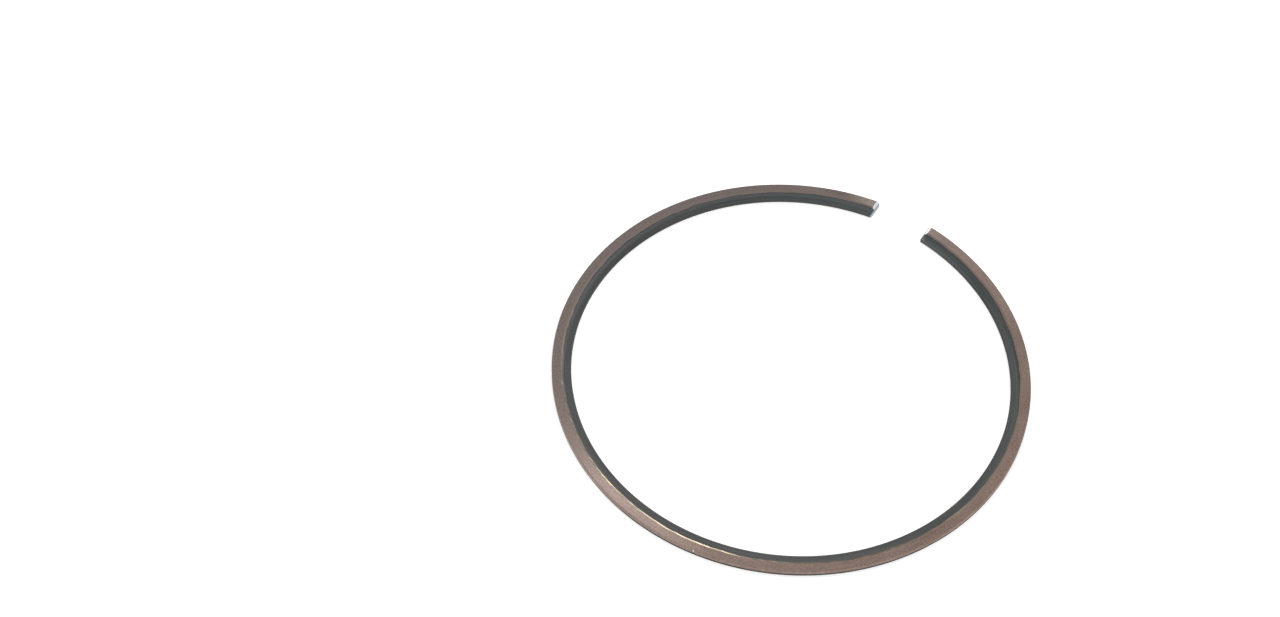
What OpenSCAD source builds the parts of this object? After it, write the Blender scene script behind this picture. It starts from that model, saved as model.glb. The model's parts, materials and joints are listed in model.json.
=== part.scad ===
// Compression piston ring with an internal step, in its free state
// The ring lies on its lower side face, step upwards, with the gap towards +Y.
// The origin is on the ring axis, in the plane of the lower side face.

/* [Ring] */
// Outer diameter of the free, uncompressed ring
free_outer_d = 82; // [60:0.5:110]
// Radial wall, from the running face to the inner wall
radial_wall = 3.35; // [2.8:0.05:4.5]
// Axial height, from the lower side face to the top land
axial_height = 1.2; // [1:0.05:2.5]
// Small chamfer that breaks the edges of the running face and the inner wall
edge_break = 0.1; // [0.04:0.01:0.15]

/* [Internal step] */
// Radial width of the step turned into the upper inner edge
step_w = 1.5; // [0.8:0.05:1.9]
// Depth of the step below the top land
step_depth = 0.5; // [0.3:0.05:0.6]
// Fillet that the turning tool leaves in the root of the step
step_root_r = 0.2; // [0.05:0.01:0.3]
// Radial width of the shallow bevel between the top land and the step
land_bevel_w = 0.3; // [0.1:0.05:0.5]
// Depth of that bevel below the top land
land_bevel_depth = 0.15; // [0.05:0.01:0.2]

/* [Gap] */
// Free gap, as wide as the straight cutter that opens the ring
free_gap = 10; // [4:0.5:20]
// Chamfer across the top of each end, deep enough to reach the step
end_chamfer = 0.65; // [0.1:0.05:0.8]
// Relief of the inner corner of each end, seen from above
end_inner_relief = 0.2; // [0.1:0.05:0.6]
// Relief of the outer corner of each end, seen from above
end_outer_relief = 0.15; // [0.05:0.05:0.4]

/* [Hidden] */

$fn = 240;

// How far a cutting shape reaches past the face that it cuts
cut_reach = axial_height;

outer_r = free_outer_d / 2;
inner_r = outer_r - radial_wall;
step_wall_r = inner_r + step_w;
step_floor_z = axial_height - step_depth;
step_wall_h = step_depth - land_bevel_depth;

// The fillet takes no more than the wall of the step and half of its floor
root_round = min(step_root_r, step_wall_h, step_w / 2);

// The end faces are parallel, half a gap to each side of the YZ plane
half_gap = free_gap / 2;
end_inner_y = sqrt(inner_r ^ 2 - half_gap ^ 2);
end_outer_y = sqrt(outer_r ^ 2 - half_gap ^ 2);
end_w = end_outer_y - end_inner_y;

bronze_grey = [0.53, 0.45, 0.42];

// Section of the ring: X is the radius, Y the height above the lower side face
module ring_section() {
    difference() {
        union() {
            polygon([
                [inner_r + edge_break, 0],
                [outer_r - edge_break, 0],
                [outer_r, edge_break],
                [outer_r, axial_height - edge_break],
                [outer_r - edge_break, axial_height],
                [step_wall_r + land_bevel_w, axial_height],
                [step_wall_r, axial_height - land_bevel_depth],
                [step_wall_r, step_floor_z],
                [inner_r + edge_break, step_floor_z],
                [inner_r, step_floor_z - edge_break],
                [inner_r, edge_break]
            ]);
            translate([step_wall_r - root_round, step_floor_z])
                square(root_round);
        }
        translate([step_wall_r - root_round, step_floor_z + root_round])
            circle(root_round);
    }
}

// Straight slot that the cutter leaves between the two ends
module gap_slot() {
    translate([-half_gap, end_inner_y - cut_reach, -cut_reach])
        cube([
            free_gap,
            outer_r - end_inner_y + 2 * cut_reach,
            axial_height + 2 * cut_reach
        ]);
}

// Cutting shapes for one end: X runs outwards along the end face, +Y into the gap
module end_relief() {
    land_chamfer_cut();
    translate([0, 0, -cut_reach])
        linear_extrude(axial_height + 2 * cut_reach) {
            inner_corner_cut();
            outer_corner_cut();
        }
}

// Wedge across the whole width of the end, sloping down towards the gap
module land_chamfer_cut() {
    translate([end_inner_y - cut_reach, 0, axial_height])
        rotate([90, 0, 90])
            linear_extrude(end_w + 2 * cut_reach)
                polygon([
                    [-end_chamfer - cut_reach, cut_reach],
                    [cut_reach, cut_reach],
                    [cut_reach, -end_chamfer - cut_reach]
                ]);
}

// Triangle off the corner between the end and the inner wall
module inner_corner_cut() {
    polygon([
        [end_inner_y - cut_reach, -end_inner_relief - cut_reach],
        [end_inner_y - cut_reach, cut_reach],
        [end_inner_y + end_inner_relief + cut_reach, cut_reach]
    ]);
}

// Triangle off the corner between the end and the running face
module outer_corner_cut() {
    polygon([
        [end_outer_y + cut_reach, -end_outer_relief - cut_reach],
        [end_outer_y + cut_reach, cut_reach],
        [end_outer_y - end_outer_relief - cut_reach, cut_reach]
    ]);
}

// The whole ring: the turned section, slotted at the gap, with both ends relieved
module compression_ring() {
    color(bronze_grey)
        difference() {
            rotate_extrude()
                ring_section();
            gap_slot();
            for (side = [0, 1])
                mirror([side, 0, 0])
                    translate([half_gap, 0, 0])
                        rotate([0, 0, 90])
                            end_relief();
        }
}

compression_ring();
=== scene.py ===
# %% [markdown]
# # A split piston ring
# The solid of the ring comes in as a fixed frame: one node, in metres, lying flat with its gap
# towards +Y. Everything below is built around it. The ring is two-toned, with a bronze land and
# running face, and a dark step turned into its inner edge. A single colour on the solid couldn't
# show that, so the ring is swept again here, at the same size, with a finish for each zone.

# %% The frame
import json
import math

import bmesh
import bpy
from mathutils import Matrix, Vector


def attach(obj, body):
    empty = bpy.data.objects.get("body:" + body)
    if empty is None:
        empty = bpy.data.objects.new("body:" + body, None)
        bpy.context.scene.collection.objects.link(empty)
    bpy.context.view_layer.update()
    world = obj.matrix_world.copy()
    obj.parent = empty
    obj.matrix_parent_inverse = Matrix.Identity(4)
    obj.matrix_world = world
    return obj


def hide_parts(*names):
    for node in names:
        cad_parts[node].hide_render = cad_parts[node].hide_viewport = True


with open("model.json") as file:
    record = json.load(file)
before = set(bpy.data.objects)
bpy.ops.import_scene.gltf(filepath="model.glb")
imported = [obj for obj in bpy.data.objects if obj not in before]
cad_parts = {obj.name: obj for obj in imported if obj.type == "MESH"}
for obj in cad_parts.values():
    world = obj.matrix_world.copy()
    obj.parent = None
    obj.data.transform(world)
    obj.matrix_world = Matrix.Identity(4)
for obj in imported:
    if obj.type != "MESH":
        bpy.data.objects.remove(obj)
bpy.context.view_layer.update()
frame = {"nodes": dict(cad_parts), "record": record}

MM = 0.001
print("frame:", sorted(frame["nodes"]))

# %% [markdown]
# ## Sizes
# The radii and heights are already written in the record, as the mounts of the part: the bore is
# the inner wall below the step, and the running face is the outer wall. The gap is read from the
# solid itself: its two end faces are parallel, half a gap to each side of the middle. The other
# sizes belong to the section, and are written once, here.

# %% Sizes of the ring
mounts = {mount["name"]: mount["dims"] for mount in frame["record"]["mounts"]}
inner_r = mounts["bore"]["r_mm"] * MM
outer_r = mounts["running_face"]["r_mm"] * MM
height = mounts["running_face"]["length_mm"] * MM
step_floor_z = mounts["bore"]["length_mm"] * MM

step_wall_r = inner_r + 1.5 * MM
land_bevel_w = 0.3 * MM
land_bevel_depth = 0.15 * MM
step_root_r = 0.2 * MM
edge_break = 0.1 * MM

solid = frame["nodes"]["compression_ring"]
half_gap = min(abs(vertex.co.x) for vertex in solid.data.vertices if vertex.co.y > 0)
print(f"radii {inner_r / MM:.2f} to {outer_r / MM:.2f} mm, height {height / MM:.2f} mm,",
      f"gap {2 * half_gap / MM:.2f} mm")

# %% [markdown]
# ## Small helpers for node trees
# A material and a Geometry Nodes tree are both node trees, and both are easier to read when a
# node is made and linked in one line. `node` makes one and fills its sockets: a socket gets a
# link if it is given another node's output, and a plain value otherwise.

# %% Node helpers
def node(tree, kind, sockets=None, **settings):
    made = tree.nodes.new(kind)
    for name, value in settings.items():
        setattr(made, name, value)
    for key, value in (sockets or {}).items():
        fill(tree, made.inputs[key], value)
    return made


def fill(tree, socket, value):
    if isinstance(value, bpy.types.NodeSocket):
        tree.links.new(value, socket)
    else:
        socket.default_value = value


def math_of(tree, operation, *values):
    return node(tree, "ShaderNodeMath", dict(enumerate(values)), operation=operation).outputs[0]


def remap(tree, value, low, high, to_low=0.0, to_high=1.0):
    sockets = {"Value": value, "From Min": low, "From Max": high}
    sockets.update({"To Min": to_low, "To Max": to_high})
    return node(tree, "ShaderNodeMapRange", sockets).outputs["Result"]


def screen(*levels):
    """A colour as a screen shows it, 0 to 255, turned into the linear light that shaders use."""
    linear = [((level / 255 + 0.055) / 1.055) ** 2.4 for level in levels]
    return (*linear, 1.0)


print("helpers ready; mid bronze in linear light:", [round(c, 3) for c in screen(133, 116, 110)])

# %% [markdown]
# ## Coordinates that follow the turning
# A ring is finished on a lathe and a lapping plate, so its marks run round it. A pattern on plain
# Object coordinates would run straight across instead. This group unrolls the ring: the first
# coordinate is the way along the circumference, the second the radius and the third the height,
# all in millimetres. The unrolled strip begins and ends in the gap, where nothing shows.

# %% The unrolling group
def make_unrolled():
    tree = bpy.data.node_groups.new("unrolled_ring", "ShaderNodeTree")
    tree.interface.new_socket("Unrolled", in_out="OUTPUT", socket_type="NodeSocketVector")
    place = node(tree, "ShaderNodeTexCoord").outputs["Object"]
    axes = node(tree, "ShaderNodeSeparateXYZ", {0: place}).outputs
    flat = node(tree, "ShaderNodeCombineXYZ", {0: axes[0], 1: axes[1]}).outputs[0]
    radius = node(tree, "ShaderNodeVectorMath", {0: flat}, operation="LENGTH").outputs["Value"]
    bearing = math_of(tree, "ARCTAN2", axes[0], math_of(tree, "MULTIPLY", axes[1], -1.0))
    along = math_of(tree, "MULTIPLY", bearing, outer_r)
    strip = node(tree, "ShaderNodeCombineXYZ", {0: along, 1: radius, 2: axes[2]}).outputs[0]
    in_mm = node(tree, "ShaderNodeVectorMath", {0: strip, "Scale": 1 / MM}, operation="SCALE")
    node(tree, "NodeGroupOutput", {0: in_mm.outputs[0]})
    return tree


unrolled_group = make_unrolled()
print("unrolling group:", len(unrolled_group.nodes), "nodes")

# %% [markdown]
# A few small functions then read like the words for a finish: a speckle of marks of some size, a
# ramp of tones, a shade lighter or darker, a blend of two tones, a value that comes and goes along
# the ring, and a tone that drifts once round it. Places along the ring are in millimetres from the
# point opposite the gap.

# %% Patterns and tones
usual_low = 0.3
usual_high = 0.7


def speckle(tree, strip, along, across, detail=2.0, offset=0.0):
    """Noise on the unrolled ring, with marks `along` and `across` millimetres in size."""
    sockets = {0: strip, 1: (1 / along, 1 / across, 1 / across), 2: (offset, offset, offset)}
    scaled = node(tree, "ShaderNodeVectorMath", sockets, operation="MULTIPLY_ADD").outputs[0]
    noise = {"Vector": scaled, "Scale": 1.0, "Detail": detail}
    return node(tree, "ShaderNodeTexNoise", noise).outputs["Fac"]


def spread(tree, noise, low, high):
    """Noise stays near its middle, so its usual range is stretched from `low` to `high`."""
    return remap(tree, noise, usual_low, usual_high, low, high)


def ramp(tree, noise, dark, light):
    return blend(tree, spread(tree, noise, 0.0, 1.0), dark, light)


def shade(tree, colour, factor):
    sockets = {0: colour, "Scale": factor}
    return node(tree, "ShaderNodeVectorMath", sockets, operation="SCALE").outputs[0]


def blend(tree, factor, first, second):
    made = node(tree, "ShaderNodeMix", data_type="RGBA")
    values = {"Factor": factor, "A": first, "B": second}
    for socket in made.inputs:
        if socket.enabled and socket.name in values:
            fill(tree, socket, values[socket.name])
    return next(socket for socket in made.outputs if socket.enabled)


def along_ring(tree, strip, stops):
    """A value that changes along the ring, in straight lines between stops of (place, value)."""
    along = node(tree, "ShaderNodeSeparateXYZ", {0: strip}).outputs[0]
    value = stops[0][1]
    for (start, before), (end, after) in zip(stops, stops[1:]):
        change = remap(tree, along, start, end, 0.0, after - before)
        value = math_of(tree, "ADD", value, change)
    return value


def drifting(tree, strip, tone, place, far_tone, far_share):
    """A tone that stays as it is at one place of the ring and nears another tone opposite it."""
    along = node(tree, "ShaderNodeSeparateXYZ", {0: strip}).outputs[0]
    away = math_of(tree, "SUBTRACT", along, place)
    nearness = math_of(tree, "COSINE", math_of(tree, "MULTIPLY", away, MM / outer_r))
    return blend(tree, remap(tree, nearness, 1.0, -1.0, 0.0, far_share), tone, far_tone)


print("patterns ready; noise is stretched from", usual_low, "to", usual_high)

# %% [markdown]
# ## A metal finish
# Each finish is one Principled shader. Its colour, roughness and relief vary over the surface and
# come from three functions of the unrolled coordinates. What is the same all over, such as how
# metallic it is, is set on the shader's own sockets. Lapped metal mirrors a lamp as a streak
# across its marks: that is anisotropy, and the UV map tells the shader which way across is.

# %% The finish function
def relief(tree, heights, depth):
    """Bump for marks that are too fine to model, `depth` metres deep."""
    return node(tree, "ShaderNodeBump", {"Height": heights, "Distance": depth}).outputs["Normal"]


def finish_of(name, colour, roughness, normal, metallic, anisotropic=0.0, specular=0.5):
    material = bpy.data.materials.new(name)
    material.use_nodes = True
    tree = material.node_tree
    tree.nodes.clear()
    strip = node(tree, "ShaderNodeGroup", node_tree=unrolled_group).outputs[0]
    sockets = {
        "Base Color": colour(tree, strip),
        "Roughness": roughness(tree, strip),
        "Normal": normal(tree, strip),
        "Metallic": metallic,
        "Anisotropic": anisotropic,
        "Specular IOR Level": specular,
    }
    shader = node(tree, "ShaderNodeBsdfPrincipled", sockets)
    if anisotropic:
        across = node(tree, "ShaderNodeTangent", direction_type="UV_MAP", uv_map="UVMap")
        tree.links.new(across.outputs[0], shader.inputs["Tangent"])
    node(tree, "ShaderNodeOutputMaterial", {"Surface": shader.outputs[0]})
    print("finish:", name, "with", len(tree.nodes), "nodes")
    return material


print("finish function ready")

# %% [markdown]
# ## The bronze land
# The land, the running face and the lower side are lapped: a soft bronze sheen with fine rings
# from the lapping, a grain like fine sand, and patches that lean to olive. The running face gets a
# painted lift of light that makes it lighter than the land, apart from a narrow dark strip along
# its foot on one half of the ring. One tiny bright nick sits just under its upper edge. These two
# functions lay them over the tone of the land.

# %% Running face and nick
# painted light: how much lighter than the land the running face is painted
running_face_painted_lift = 1.25
foot_h = 0.5
foot_fade = 0.1
foot_ragged = 0.1
foot_stops = [(-16, 0.0), (-6, 1.0)]
coat_dark_tone = screen(66, 67, 67)
nick_along = 5.5
nick_depth = 0.15
nick_r = 0.12
nick_fade = 0.06
bare_metal = screen(235, 238, 240)


def with_running_face(tree, strip, grain, tone):
    """The outer wall: a painted lift of light, and a dark strip along its foot."""
    _, radius, rise = node(tree, "ShaderNodeSeparateXYZ", {0: strip}).outputs
    on_wall = remap(tree, radius, (outer_r - edge_break) / MM, outer_r / MM)
    # painted light on the running face
    tone = shade(tree, tone, remap(tree, on_wall, 0.0, 1.0, 1.0, running_face_painted_lift))
    # a narrow dark strip along the foot, on one half of the ring
    ragged = math_of(tree, "MULTIPLY_ADD", grain, foot_ragged, rise)
    dark = along_ring(tree, strip, foot_stops)
    foot = remap(tree, ragged, foot_h, foot_h + foot_fade, dark, 0.0)
    return blend(tree, math_of(tree, "MULTIPLY", on_wall, foot), tone, coat_dark_tone)


def with_nick(tree, strip, tone):
    nick_place = (nick_along, outer_r / MM, height / MM - nick_depth)
    away = node(tree, "ShaderNodeVectorMath", {0: strip, 1: nick_place}, operation="DISTANCE")
    inside = remap(tree, away.outputs["Value"], nick_r, nick_r + nick_fade, 1.0, 0.0)
    return blend(tree, inside, tone, bare_metal)


print("foot strip", foot_h, "mm high; nick", nick_r, "mm in radius,", nick_depth, "mm below the land")

# %% [markdown]
# The tone of the land is built up in layers. The bronze is warmest on one side of the ring and
# greyer on the other. Light and shade are painted into it along the ring: lighter where the lamp's
# sheen lies, and dimmer towards the ends. Beside the bevel runs a narrow margin that leans to ochre.

# %% Tone of the bronze
warmest_place = 55.0
grey_bronze = screen(134, 123, 121)
greyest_share = 0.9
olive_bronze = screen(136, 122, 108)
ochre_bronze = screen(140, 120, 98)
ochre_share = 0.25
margin_w = 0.25
# painted light and shade along the ring: lighter where the sheen lies, dimmer towards the ends
bronze_painted_light_stops = [
    (-124, 0.3), (-117, 0.43), (-112, 0.78), (-35, 0.9), (-13, 1.12),
    (2, 1.0), (11, 1.08), (22, 1.0), (90, 1.0), (115, 1.1), (124, 0.66),
]


def bronze_colour(tree, strip):
    mottle = speckle(tree, strip, along=7.0, across=2.5, offset=31.0)
    olive = speckle(tree, strip, along=1.3, across=0.9, offset=61.0)
    rings = speckle(tree, strip, along=12.0, across=0.12)
    grain = speckle(tree, strip, along=0.32, across=0.3, offset=5.0)
    tone = ramp(tree, mottle, dark=screen(128, 108, 100), light=screen(147, 126, 116))
    tone = drifting(tree, strip, tone, warmest_place, grey_bronze, greyest_share)
    tone = blend(tree, remap(tree, olive, low=0.45, high=0.7, to_high=0.4), tone, olive_bronze)
    tone = shade(tree, tone, spread(tree, rings, low=0.95, high=1.05))
    tone = shade(tree, tone, spread(tree, grain, low=0.78, high=1.22))
    # painted light and shade along the ring
    tone = shade(tree, tone, along_ring(tree, strip, bronze_painted_light_stops))
    radius = node(tree, "ShaderNodeSeparateXYZ", {0: strip}).outputs[1]
    margin = (step_wall_r + land_bevel_w) / MM
    ochre = remap(tree, radius, margin, margin + margin_w, ochre_share, 0.0)
    tone = blend(tree, ochre, tone, ochre_bronze)
    tone = with_running_face(tree, strip, grain, tone)
    return with_nick(tree, strip, tone)


print("ochre margin", margin_w, "mm wide; tone set at", len(bronze_painted_light_stops), "places along the ring")

# %% [markdown]
# The sheen runs across the lapping rings, so this is the finish with anisotropy. The relief is no
# more than a scratch: one and a half thousandths of a millimetre.

# %% Lapped bronze
def bronze_roughness(tree, strip):
    marks = speckle(tree, strip, along=9.0, across=0.2, offset=3.0)
    return spread(tree, marks, low=0.39, high=0.45)


def bronze_relief(tree, strip):
    rings = speckle(tree, strip, along=14.0, across=0.07, offset=9.0)
    grain = speckle(tree, strip, along=0.2, across=0.2, offset=2.0)
    return relief(tree, math_of(tree, "ADD", rings, grain), depth=0.0015 * MM)


lapped_bronze = finish_of("lapped_bronze", bronze_colour, bronze_roughness, bronze_relief,
                          metallic=0.9, anisotropic=0.95)

# %% [markdown]
# ## The dark step
# The step and the inner wall keep the dark coat that the ring had before lapping. It is dull, grey
# opposite the gap and slightly green at the gap, with the tool's rings showing as faint lighter and
# darker streaks and a few brown stains. Light and shade are painted into it along the ring: it is
# lighter at the gap and opposite it, and darker on the two sides between. Next to the wall of the
# step it is painted lighter nearly all the way round, against the shade in the step's corner. It is
# more of a coat than bare metal, so the metallic value is low.

# %% Dark coat
# painted light: from here to the wall of the step the coat is painted lighter, against the shade in
# its corner
painted_lift_from_r = step_wall_r - 0.85 * MM
painted_lift_to_r = step_wall_r - 0.25 * MM
wall_painted_light_stops = [(-75, 1.7), (-40, 1.25), (30, 1.25), (52, 0.95), (84, 1.0), (101, 1.3)]
greyest_place = -6.0
green_coat = screen(73, 78, 78)
greenest_share = 0.9
brown_stain = screen(90, 82, 74)
# painted light and shade along the ring, on the floor of the step
coat_painted_light_stops = [(-120, 1.1), (-72, 0.62), (-36, 0.95), (10, 1.12), (66, 0.78), (107, 0.7), (120, 1.3)]


def coat_colour(tree, strip):
    rings = speckle(tree, strip, along=16.0, across=0.16, offset=41.0)
    grain = speckle(tree, strip, along=0.3, across=0.25, offset=11.0)
    stain = speckle(tree, strip, along=5.0, across=0.9, detail=4.0, offset=53.0)
    tone = ramp(tree, rings, dark=coat_dark_tone, light=screen(87, 88, 87))
    tone = drifting(tree, strip, tone, greyest_place, green_coat, greenest_share)
    tone = blend(tree, remap(tree, stain, low=0.58, high=0.75, to_high=0.5), tone, brown_stain)
    radius = node(tree, "ShaderNodeSeparateXYZ", {0: strip}).outputs[1]
    # painted light and shade: along the ring on the floor, and lighter towards the wall
    on_floor = along_ring(tree, strip, coat_painted_light_stops)
    at_wall = along_ring(tree, strip, wall_painted_light_stops)
    lightness = remap(tree, radius, painted_lift_from_r / MM, painted_lift_to_r / MM, on_floor, at_wall)
    tone = shade(tree, tone, lightness)
    return shade(tree, tone, spread(tree, grain, low=0.92, high=1.08))


def coat_roughness(tree, strip):
    marks = speckle(tree, strip, along=6.0, across=0.25, offset=13.0)
    return spread(tree, marks, low=0.5, high=0.65)


def coat_relief(tree, strip):
    rings = speckle(tree, strip, along=18.0, across=0.1, offset=19.0)
    grain = speckle(tree, strip, along=0.2, across=0.2, offset=29.0)
    return relief(tree, math_of(tree, "ADD", rings, grain), depth=0.008 * MM)


dark_coat = finish_of("dark_coat", coat_colour, coat_roughness, coat_relief,
                      metallic=0.35, specular=0.25)

# %% [markdown]
# ## The worn edge
# Between the land and the step lies a narrow, shallow bevel. Along a third of the ring, opposite the
# gap, it is bare metal, darker and smoother than the land and a little golden. So it is dim where it
# mirrors the white surroundings, and throws a bright line where its slope faces a lamp. How bright
# that line is at each place is painted into the tone along the ring, as painted light and shade. The
# rest of it is bronze, as the land is, and the way along the ring sets which of the two it is.

# %% Burnished edge
bronze_edge = screen(134, 116, 104)
bronze_edge_stops = [(-38, 1.0), (-26, 0.0), (34, 0.0), (52, 1.0)]
# painted light and shade along the ring, which sets how bright the bevel's line is at each place
edge_painted_light_stops = [
    (-48, 0.78), (-36, 0.4), (-20, 0.25), (-13, 0.55), (-7, 0.2),
    (2, 1.1), (9, 1.15), (15, 0.4), (34, 0.4), (52, 0.8),
]


def edge_colour(tree, strip):
    rubbing = speckle(tree, strip, along=2.2, across=0.5, detail=3.0, offset=17.0)
    rubbed = ramp(tree, rubbing, dark=screen(84, 75, 64), light=screen(104, 92, 78))
    bronze = drifting(tree, strip, bronze_edge, warmest_place, grey_bronze, greyest_share)
    tone = blend(tree, along_ring(tree, strip, bronze_edge_stops), rubbed, bronze)
    # painted light and shade along the ring
    return shade(tree, tone, along_ring(tree, strip, edge_painted_light_stops))


def edge_roughness(tree, strip):
    marks = speckle(tree, strip, along=1.4, across=0.5, offset=23.0)
    return spread(tree, marks, low=0.33, high=0.42)


def edge_relief(tree, strip):
    marks = speckle(tree, strip, along=1.0, across=0.3, offset=4.0)
    return relief(tree, marks, depth=0.003 * MM)


burnished_edge = finish_of("burnished_edge", edge_colour, edge_roughness, edge_relief, metallic=1.0)

# %% [markdown]
# ## The cut ends
# The two ends at the gap are cut and ground after the sides are finished, so they are bare bright
# metal, with fine lines that run across the ring. Below the level of the step they are duller and a
# little blue.

# %% Ground ends
end_fade = 0.12 * MM
dull_end = screen(150, 160, 170)


def end_colour(tree, strip):
    lines = speckle(tree, strip, along=0.1, across=2.0, offset=7.0)
    bright = ramp(tree, lines, dark=screen(205, 209, 213), light=screen(232, 235, 238))
    rise = node(tree, "ShaderNodeSeparateXYZ", {0: strip}).outputs[2]
    above_step = remap(tree, rise, step_floor_z / MM, (step_floor_z + end_fade) / MM)
    return blend(tree, above_step, dull_end, bright)


def end_roughness(tree, strip):
    lines = speckle(tree, strip, along=0.15, across=1.0, offset=8.0)
    return spread(tree, lines, low=0.2, high=0.32)


def end_relief(tree, strip):
    lines = speckle(tree, strip, along=0.08, across=1.5, offset=6.0)
    return relief(tree, lines, depth=0.004 * MM)


ground_end = finish_of("ground_end", end_colour, end_roughness, end_relief, metallic=1.0)

# %% [markdown]
# ## The section
# Cut through the ring and this outline shows: a flat lower side, an upright running face, the
# land on top, the step inside it and the inner wall. It could be modelled as a mesh and spun, but
# as an outline its corners can be listed, each with its radius, its height and how far it is
# rounded.

# %% Corners of the section
soft_corner = 0.03 * MM
worn_corner = 0.06 * MM

section_corners = [
    (inner_r, edge_break, soft_corner),
    (inner_r, step_floor_z - edge_break, soft_corner),
    (inner_r + edge_break, step_floor_z, soft_corner),
    (step_wall_r, step_floor_z, step_root_r),
    (step_wall_r, height - land_bevel_depth, worn_corner),
    (step_wall_r + land_bevel_w, height, worn_corner),
    (outer_r - edge_break, height, soft_corner),
    (outer_r, height - edge_break, soft_corner),
    (outer_r, edge_break, soft_corner),
    (outer_r - edge_break, 0.0, soft_corner),
    (inner_r + edge_break, 0.0, soft_corner),
]
print("section:", len(section_corners), "corners")

# %% [markdown]
# Short functions turn the corners into arcs and join the arcs by straight runs. A run has one point
# close to each of its ends, so that smooth shading keeps the flat flat.

# %% Outline of the section
soft_steps = 3
round_steps = 8
longest_run = 0.4 * MM
support = 0.02 * MM
shortest_run = 4 * support


def corner_arc(before, corner, after, radius):
    """Points of the arc that rounds a corner, from the side of `before` to the side of `after`."""
    back = (before - corner).normalized()
    on = (after - corner).normalized()
    half = back.angle(on) / 2
    middle = corner + (back + on).normalized() * radius / math.sin(half)
    start = corner + back * radius / math.tan(half) - middle
    end = corner + on * radius / math.tan(half) - middle
    turn = start.angle_signed(end)
    steps = soft_steps if radius <= worn_corner else round_steps
    return [middle + Matrix.Rotation(-turn * i / steps, 2) @ start for i in range(steps + 1)]


def straight_run(start, end):
    """Points between two arcs: one close to each end, and even steps between."""
    run = end - start
    if run.length < shortest_run:
        return []
    first = start + run.normalized() * support
    last = end - run.normalized() * support
    count = max(1, math.ceil((last - first).length / longest_run))
    return [first.lerp(last, i / count) for i in range(count + 1)]


def rounded_outline(corners):
    places = [Vector(corner[:2]) for corner in corners]
    arcs = []
    for i, corner in enumerate(corners):
        after = places[(i + 1) % len(places)]
        arcs.append(corner_arc(places[i - 1], places[i], after, corner[2]))
    points = []
    for i, arc in enumerate(arcs):
        next_arc = arcs[(i + 1) % len(arcs)]
        points += arc + straight_run(arc[-1], next_arc[0])
    return points


outline = rounded_outline(section_corners)
print("outline:", len(outline), "points, first", [round(c / MM, 3) for c in outline[0]])

# %% [markdown]
# The outline becomes a small mesh of points and edges, drawn flat and measured from the circle
# that it is going to follow. The sweep turns a profile's Y axis downwards here, so the heights are
# drawn with their sign changed. Two marks on its points say which of them lie on the worn edge
# and which on the coat: the sweep carries them along, and the finishes are given out by them.

# %% Section object
path_r = step_wall_r
tiny = 0.001 * MM


def on_worn_edge(point):
    return point.y > height - land_bevel_depth and point.x < step_wall_r + land_bevel_w


def on_coat(point):
    above_lower_edge = point.y > edge_break + soft_corner
    below_bevel = point.y < height - land_bevel_depth
    return above_lower_edge and below_bevel and point.x < step_wall_r + tiny


def section_object():
    mesh = bpy.data.meshes.new("ring_section")
    count = len(outline)
    edges = [(i, (i + 1) % count) for i in range(count)]
    mesh.from_pydata([(p.x - path_r, -p.y, 0.0) for p in outline], edges, [])
    for name, test in (("worn_edge", on_worn_edge), ("coat", on_coat)):
        mark = mesh.attributes.new(name, "FLOAT", "POINT")
        mark.data.foreach_set("value", [float(test(p)) for p in outline])
        print("section points on", name, sum(test(p) for p in outline))
    return bpy.data.objects.new("ring_section", mesh)


section = section_object()

# %% [markdown]
# ## The ring as a sweep
# The ring follows a rule: one section, carried along an open circle, with its two ends cut
# straight and relieved. That suits Geometry Nodes. The first part of the tree bends a line of
# points into the open circle, with the points crowded towards the ends, where the reliefs need
# them. Positions are easiest to change as a radius, a bearing from -Y and a height, so two
# functions go from points to those and back.

# %% The path of the sweep
def polar(tree):
    """Radius, bearing from -Y and height of each point."""
    place = node(tree, "GeometryNodeInputPosition").outputs[0]
    axes = node(tree, "ShaderNodeSeparateXYZ", {0: place}).outputs
    flat = node(tree, "ShaderNodeCombineXYZ", {0: axes[0], 1: axes[1]}).outputs[0]
    radius = node(tree, "ShaderNodeVectorMath", {0: flat}, operation="LENGTH").outputs["Value"]
    bearing = math_of(tree, "ARCTAN2", axes[0], math_of(tree, "MULTIPLY", axes[1], -1.0))
    return radius, bearing, axes[2]


def from_polar(tree, radius, bearing, rise):
    x = math_of(tree, "MULTIPLY", radius, math_of(tree, "SINE", bearing))
    forward = math_of(tree, "MULTIPLY", radius, math_of(tree, "COSINE", bearing))
    y = math_of(tree, "MULTIPLY", forward, -1.0)
    return node(tree, "ShaderNodeCombineXYZ", {0: x, 1: y, 2: rise}).outputs[0]


def end_bearing(tree, sizes, radius):
    """The bearing at which a circle of some radius meets the end face, half a gap from the middle."""
    opening = math_of(tree, "ARCSINE", math_of(tree, "DIVIDE", sizes["Half Gap"], radius))
    return math_of(tree, "SUBTRACT", math.pi, opening)


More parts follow.
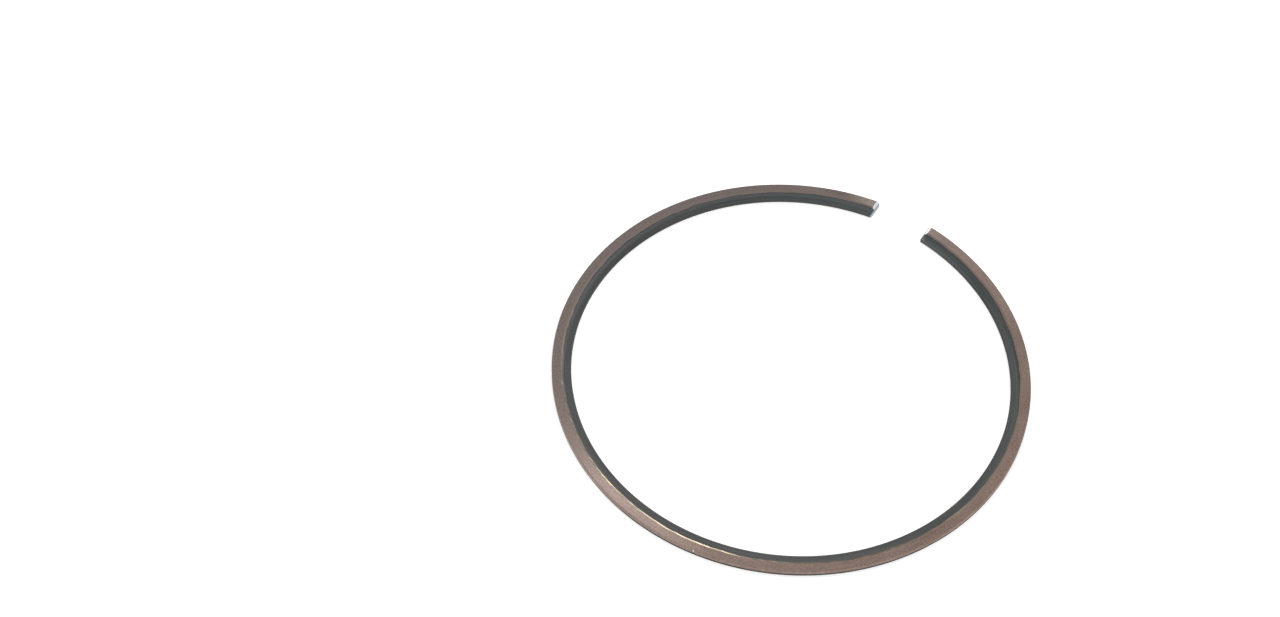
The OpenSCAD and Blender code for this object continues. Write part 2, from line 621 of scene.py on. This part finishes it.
def open_circle(tree, sizes):
    """A curve round the ring from end to end, with its points crowded towards both ends."""
    line = node(tree, "GeometryNodeMeshLine", {"Count": sizes["Stations"]}).outputs["Mesh"]
    index = node(tree, "GeometryNodeInputIndex").outputs[0]
    last = math_of(tree, "SUBTRACT", sizes["Stations"], 1.0)
    even = remap(tree, index, 0.0, last, -1.0, 1.0)
    # 1.5 e - 0.5 e^3 goes from -1 to 1 as e does, and slows down to a stop at both
    cube = math_of(tree, "MULTIPLY", even, math_of(tree, "MULTIPLY", even, even))
    crowded = math_of(tree, "MULTIPLY_ADD", even, 1.5, math_of(tree, "MULTIPLY", cube, -0.5))
    mix = {"Factor": sizes["End Crowding"], "A": even, "B": crowded}
    share = node(tree, "ShaderNodeMix", mix).outputs[0]
    bearing = math_of(tree, "MULTIPLY", share, end_bearing(tree, sizes, sizes["Path Radius"]))
    place = from_polar(tree, sizes["Path Radius"], bearing, 0.0)
    bent = node(tree, "GeometryNodeSetPosition", {"Geometry": line, "Position": place}).outputs[0]
    curve = node(tree, "GeometryNodeMeshToCurve", {"Mesh": bent}).outputs[0]
    return node(tree, "GeometryNodeSetCurveNormal", {"Curve": curve}, mode="Z_UP").outputs[0]


print("path functions ready")

# %% [markdown]
# Curve to Mesh carries the section along the path, and a Set Position then moves its points. One
# of its tasks is to let the land's edge wander by up to a tenth of a millimetre, as a hand-rubbed
# edge does. The noise for that is read on a circle, so the edge strays smoothly, and it fades out
# away from the wall of the step.

# %% A wandering edge
wander_scale = 0.3
wander_detail = 2.0
noise_middle = 0.5
wander_inner = 0.25 * MM
wander_outer = 0.6 * MM
wander_low = 0.1 * MM
wander_high = 0.4 * MM


def wander_at(tree, sizes, radius, bearing, rise):
    """How far the wall of the step strays from its circle: nothing away from it."""
    path_mm = math_of(tree, "DIVIDE", sizes["Path Radius"], MM)
    round_way = from_polar(tree, path_mm, bearing, sizes["Seed"])
    sockets = {"Vector": round_way, "Scale": wander_scale, "Detail": wander_detail}
    noise = node(tree, "ShaderNodeTexNoise", sockets).outputs["Fac"]
    stray = math_of(tree, "SUBTRACT", noise, noise_middle)
    off_wall = math_of(tree, "ABSOLUTE", math_of(tree, "SUBTRACT", radius, sizes["Path Radius"]))
    near_wall = remap(tree, off_wall, wander_inner, wander_outer, 1.0, 0.0)
    above_side = remap(tree, rise, wander_low, wander_high)
    there = math_of(tree, "MULTIPLY", near_wall, above_side)
    return math_of(tree, "MULTIPLY", math_of(tree, "MULTIPLY", stray, there), sizes["Edge Wander"])


print("wander function ready; it acts within", wander_outer / MM, "mm of the wall of the step")

# %% [markdown]
# The same Set Position trims the ends. From each point's distance to the nearer end it works out
# how far the chamfer and the two corner reliefs reach there, and holds the radius and the height
# within them. Last, it shifts each point round the ring, so that both ends lie flat in the faces
# that the straight cutter left.

# %% Trimming the ends
def trimmed(tree, sizes, mesh):
    radius, bearing, rise = polar(tree)
    path_end = end_bearing(tree, sizes, sizes["Path Radius"])
    to_end = math_of(tree, "SUBTRACT", path_end, math_of(tree, "ABSOLUTE", bearing))
    from_end = math_of(tree, "MULTIPLY", sizes["Path Radius"], to_end)

    def cut(size):
        return math_of(tree, "MAXIMUM", math_of(tree, "SUBTRACT", sizes[size], from_end), 0.0)

    radius = math_of(tree, "ADD", radius, wander_at(tree, sizes, radius, bearing, rise))
    least = math_of(tree, "ADD", sizes["Inner Radius"], cut("Inner Relief"))
    most = math_of(tree, "SUBTRACT", sizes["Outer Radius"], cut("Outer Relief"))
    top = math_of(tree, "SUBTRACT", sizes["Height"], cut("Land Chamfer"))
    radius = math_of(tree, "MINIMUM", math_of(tree, "MAXIMUM", radius, least), most)
    rise = math_of(tree, "MINIMUM", rise, top)

    stretch = math_of(tree, "DIVIDE", end_bearing(tree, sizes, radius), path_end)
    place = from_polar(tree, radius, math_of(tree, "MULTIPLY", bearing, stretch), rise)
    moved = node(tree, "GeometryNodeSetPosition", {"Geometry": mesh, "Position": place}).outputs[0]
    merge = {"Geometry": moved, "Distance": tiny / 2}
    return node(tree, "GeometryNodeMergeByDistance", merge).outputs[0]


print("trimming function ready")

# %% [markdown]
# The swept mesh gets smooth shading, apart from its sharp edges, and a UV map that unrolls it: U
# goes round the section, across the lapping, and V round the ring. The three tests below pick the
# faces for each finish: by the marks that the section carries, and by which way a face looks.

# %% Shading, map and zones
sharp_from = math.radians(30)
touched_from = 0.25
end_facing_from = 0.5


def with_smooth_faces(tree, mesh):
    smooth = node(tree, "GeometryNodeSetShadeSmooth", {"Geometry": mesh}, domain="FACE").outputs[0]
    angle = node(tree, "GeometryNodeInputMeshEdgeAngle").outputs["Unsigned Angle"]
    sharp = greater(tree, angle, sharp_from)
    sockets = {"Geometry": smooth, "Selection": sharp, "Shade Smooth": False}
    return node(tree, "GeometryNodeSetShadeSmooth", sockets, domain="EDGE").outputs[0]


def greater(tree, value, limit):
    sockets = {"A": value, "B": limit}
    return node(tree, "FunctionNodeCompare", sockets, operation="GREATER_THAN").outputs[0]


def with_strip_map(tree, mesh, around):
    _, bearing, _ = polar(tree)
    v = remap(tree, bearing, -math.pi, math.pi)
    uv = node(tree, "ShaderNodeCombineXYZ", {0: around, 1: v}).outputs[0]
    sockets = {"Geometry": mesh, "Name": "UVMap", "Value": uv}
    kind = {"data_type": "FLOAT2", "domain": "CORNER"}
    return node(tree, "GeometryNodeStoreNamedAttribute", sockets, **kind).outputs[0]


def faces_marked(tree, name):
    """Faces that touch a marked point. The mean of a side face's marks is 0, a half or 1."""
    mark = node(tree, "GeometryNodeInputNamedAttribute", {"Name": name}, data_type="FLOAT")
    return greater(tree, mark.outputs["Attribute"], touched_from)


def faces_at_ends(tree):
    """Faces that look along the ring, so the cut ends and their reliefs."""
    _, bearing, _ = polar(tree)
    east = math_of(tree, "COSINE", bearing)
    north = math_of(tree, "SINE", bearing)
    way = node(tree, "ShaderNodeCombineXYZ", {0: east, 1: north}).outputs[0]
    normal = node(tree, "GeometryNodeInputNormal").outputs[0]
    facing = node(tree, "ShaderNodeVectorMath", {0: normal, 1: way}, operation="DOT_PRODUCT")
    return greater(tree, math_of(tree, "ABSOLUTE", facing.outputs["Value"]), end_facing_from)


print("zone tests ready")

# %% [markdown]
# The sizes and finishes of the tree are named inputs, so that the same tree could make another
# ring. The section comes in as an object and is turned into a curve. Each point of the curve also
# keeps its share of the way round, which the UV map needs after the sweep.

# %% Inputs of the tree
def tree_inputs(tree, kinds):
    for name, kind in kinds.items():
        tree.interface.new_socket(name, in_out="INPUT", socket_type="NodeSocket" + kind)
    tree.interface.new_socket("Ring", in_out="OUTPUT", socket_type="NodeSocketGeometry")
    return node(tree, "NodeGroupInput").outputs


def carried_section(tree, section_socket):
    """The section as a curve, and the share of the way round it at each point."""
    drawn = node(tree, "GeometryNodeObjectInfo", {"Object": section_socket}).outputs["Geometry"]
    profile = node(tree, "GeometryNodeMeshToCurve", {"Mesh": drawn}).outputs[0]
    kept = node(tree, "GeometryNodeCaptureAttribute", {"Geometry": profile})
    kept.capture_items.new("FLOAT", "Around")
    share = node(tree, "GeometryNodeSplineParameter").outputs["Factor"]
    tree.links.new(share, kept.inputs["Around"])
    return kept.outputs["Geometry"], kept.outputs["Around"]


print("input functions ready")

# %% [markdown]
# The whole tree puts these parts in order. It sweeps and trims the ring, smooths and maps it, and
# ends by realizing the result and giving out the finishes, the land's first and the others over it.

# %% The sweep tree
def make_sweep(size_names, finish_names):
    tree = bpy.data.node_groups.new("swept_ring", "GeometryNodeTree")
    tree.is_modifier = True
    kinds = {"Section": "Object", "Stations": "Int"}
    kinds.update({name: "Float" for name in size_names})
    kinds.update({name: "Material" for name in finish_names})
    sizes = tree_inputs(tree, kinds)

    profile, around = carried_section(tree, sizes["Section"])
    sweep = {"Curve": open_circle(tree, sizes), "Profile Curve": profile, "Fill Caps": True}
    mesh = node(tree, "GeometryNodeCurveToMesh", sweep).outputs[0]
    mesh = trimmed(tree, sizes, mesh)
    mesh = with_smooth_faces(tree, mesh)
    mesh = with_strip_map(tree, mesh, around)

    zones = {"Edge": faces_marked(tree, "worn_edge"), "Step": faces_marked(tree, "coat")}
    zones["Ends"] = faces_at_ends(tree)
    realized = node(tree, "GeometryNodeRealizeInstances", {"Geometry": mesh}).outputs[0]
    paint = {"Geometry": realized, "Material": sizes["Land"]}
    mesh = node(tree, "GeometryNodeSetMaterial", paint).outputs[0]
    for finish, chosen in zones.items():
        paint = {"Geometry": mesh, "Selection": chosen, "Material": sizes[finish]}
        mesh = node(tree, "GeometryNodeSetMaterial", paint).outputs[0]
    for mark in ("worn_edge", "coat"):
        mesh = node(tree, "GeometryNodeRemoveAttribute", {"Geometry": mesh, "Name": mark}).outputs[0]
    node(tree, "NodeGroupOutput", {0: mesh})
    return tree


print("tree function ready")

# %% [markdown]
# Here are the values for this ring. The chamfer and the reliefs of the ends are those of the solid,
# and the seed picks one of many possible wanders.

# %% Values of this ring
ring_sizes = {
    "Path Radius": path_r,
    "Inner Radius": inner_r,
    "Outer Radius": outer_r,
    "Height": height,
    "Half Gap": half_gap,
    "End Crowding": 0.97,
    "Land Chamfer": 0.65 * MM,
    "Inner Relief": 0.2 * MM,
    "Outer Relief": 0.15 * MM,
    "Edge Wander": 0.45 * MM,
    "Seed": 7.0,
}
ring_finishes = {
    "Land": lapped_bronze,
    "Edge": burnished_edge,
    "Step": dark_coat,
    "Ends": ground_end,
}
sweep_tree = make_sweep(ring_sizes, ring_finishes)
print("sweep tree:", len(sweep_tree.nodes), "nodes")

# %% [markdown]
# ## Running the sweep
# A modifier finds its inputs by the identifier of each socket, so the values are set through
# those. The evaluated result is then turned into a plain mesh, and the modifier goes: what is
# left is an ordinary object at the origin, which replaces the plain solid.

# %% The finished ring
sweep_inputs = {"Section": section, "Stations": 900, **ring_sizes, **ring_finishes}


def run_sweep():
    holder = bpy.data.objects.new("split_ring", bpy.data.meshes.new("split_ring"))
    bpy.context.scene.collection.objects.link(holder)
    modifier = holder.modifiers.new("sweep", "NODES")
    modifier.node_group = sweep_tree
    for item in sweep_tree.interface.items_tree:
        if item.in_out == "INPUT":
            modifier[item.identifier] = sweep_inputs[item.name]
    graph = bpy.context.evaluated_depsgraph_get()
    mesh = bpy.data.meshes.new_from_object(holder.evaluated_get(graph), depsgraph=graph)
    holder.modifiers.remove(modifier)
    holder.data = mesh
    return holder


ring = run_sweep()
bpy.data.objects.remove(section)
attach(ring, "root")
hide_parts("compression_ring")

measured = bmesh.new()
measured.from_mesh(ring.data)
open_edges = sum(not edge.is_manifold for edge in measured.edges)
triangles = sum(len(face.verts) - 2 for face in measured.faces)
volume = measured.calc_volume(signed=True)
measured.free()
print(f"ring: {triangles} triangles, {open_edges} open edges, {volume / MM ** 3:.1f} cubic mm,",
      "finishes", [m.name for m in ring.data.materials])

# %% [markdown]
# ## Floor and white surroundings
# The background is white. The floor is a white sheet that takes the ring's shadow, with a little
# light of its own for the camera, and for reflections, so that it reads as white.

# %% Floor
floor_size = 6.0
floor_drop = 0.02 * MM
floor_glow = 0.45
floor_white = (0.88, 0.88, 0.88, 1.0)


def seen_or_mirrored(tree):
    rays = node(tree, "ShaderNodeLightPath").outputs
    seen = math_of(tree, "MAXIMUM", rays["Is Camera Ray"], rays["Is Glossy Ray"])
    return math_of(tree, "MAXIMUM", seen, rays["Is Transmission Ray"])


def white_sheet():
    material = bpy.data.materials.new("white_sheet")
    material.use_nodes = True
    tree = material.node_tree
    tree.nodes.clear()
    matt = node(tree, "ShaderNodeBsdfDiffuse", {"Color": floor_white}).outputs[0]
    strength = math_of(tree, "MULTIPLY", seen_or_mirrored(tree), floor_glow)
    glow = node(tree, "ShaderNodeEmission", {"Strength": strength}).outputs[0]
    both = node(tree, "ShaderNodeAddShader", {0: matt, 1: glow}).outputs[0]
    node(tree, "ShaderNodeOutputMaterial", {"Surface": both})
    return material


def floor_sheet():
    half = floor_size / 2
    mesh = bpy.data.meshes.new("floor")
    corners = [(-half, -half), (half, -half), (half, half), (-half, half)]
    mesh.from_pydata([(x, y, -floor_drop) for x, y in corners], [], [(0, 1, 2, 3)])
    mesh.materials.append(white_sheet())
    sheet = bpy.data.objects.new("floor", mesh)
    bpy.context.scene.collection.objects.link(sheet)
    return sheet


floor = floor_sheet()
print("floor", floor_size, "m wide,", floor_drop / MM, "mm below the ring")

# %% [markdown]
# The world does the same: it is white where it is seen or mirrored, and dimmer where it only
# lights. The Standard view transform shows the tones as they are, so that white stays white.

# %% World
world_light = 0.85
white = (1.0, 1.0, 1.0, 1.0)


def white_world():
    world = bpy.data.worlds.new("white_studio")
    world.use_nodes = True
    tree = world.node_tree
    tree.nodes.clear()
    strength = remap(tree, seen_or_mirrored(tree), 0.0, 1.0, world_light, 1.0)
    sky = node(tree, "ShaderNodeBackground", {"Color": white, "Strength": strength}).outputs[0]
    node(tree, "ShaderNodeOutputWorld", {"Surface": sky})
    return world


bpy.context.scene.world = white_world()
bpy.context.scene.view_settings.view_transform = "Standard"
print("world light", world_light)

# %% [markdown]
# ## Camera
# The camera looks down on the ring from the side that lies opposite the gap, a little to the left
# of the middle. Its place and tilt were worked out from the outline of the ring, and are given
# here from the centre of the ring, as the photo has it. `view_turn` then turns that view into the
# frame of the part, where the gap lies towards +Y.

# %% Camera
view_turn = math.radians(31.4)
camera_place = Vector((-26.14, -226.98, 309.94)) * MM
camera_tilt = math.radians(52.327)
camera_roll = math.radians(1.584)
sensor_width = 36.0
focal_px = 2236
image_width_px = 1280
nearest_seen = 0.01
farthest_seen = 20.0


def photo_camera():
    data = bpy.data.cameras.new("photo_view")
    data.sensor_fit = "HORIZONTAL"
    data.sensor_width = sensor_width
    data.lens = sensor_width * focal_px / image_width_px
    data.clip_start = nearest_seen
    data.clip_end = farthest_seen
    camera = bpy.data.objects.new("photo_view", data)
    bpy.context.scene.collection.objects.link(camera)
    turn = Matrix.Rotation(view_turn, 4, "Z")
    tilt = Matrix.Rotation(math.pi / 2 - camera_tilt, 4, "X")
    roll = Matrix.Rotation(camera_roll, 4, "Z")
    camera.matrix_world = turn @ Matrix.Translation(camera_place) @ tilt @ roll
    return camera


camera = photo_camera()
bpy.context.scene.camera = camera
print(f"camera {camera_place.length / MM:.0f} mm from the middle of the ring,",
      f"lens {camera.data.lens:.1f} mm")

# %% [markdown]
# ## Light
# The bright line on the near left edge says where the lamp is: behind the ring, to the right of the
# middle, and low, so that the bevel there mirrors it. It is small and slightly warm. The soft glow
# on the land at the same place is the same lamp, drawn out across the lapping marks. The white
# surroundings do the rest.

# %% Lamp
def lamp(name, bearing, elevation, distance, width, power, colour):
    """A square lamp that points at the ring. Bearing 0 is to the right, as the camera sees it."""
    data = bpy.data.lights.new(name, "AREA")
    data.shape = "SQUARE"
    data.size = width
    data.energy = power
    data.color = colour
    made = bpy.data.objects.new(name, data)
    bpy.context.scene.collection.objects.link(made)
    way = Vector((distance, 0.0, 0.0))
    way.rotate(Matrix.Rotation(-math.radians(elevation), 3, "Y"))
    way.rotate(Matrix.Rotation(math.radians(bearing) + view_turn, 3, "Z"))
    made.location = way
    made.rotation_mode = "QUATERNION"
    made.rotation_quaternion = (-way).to_track_quat("-Z", "Y")
    made.visible_camera = False
    print("lamp", name, "at", [round(c, 3) for c in way], "m")


lamp("window_lamp", bearing=72, elevation=11, distance=0.24, width=0.04, power=0.5,
     colour=(1.0, 1.0, 0.96))
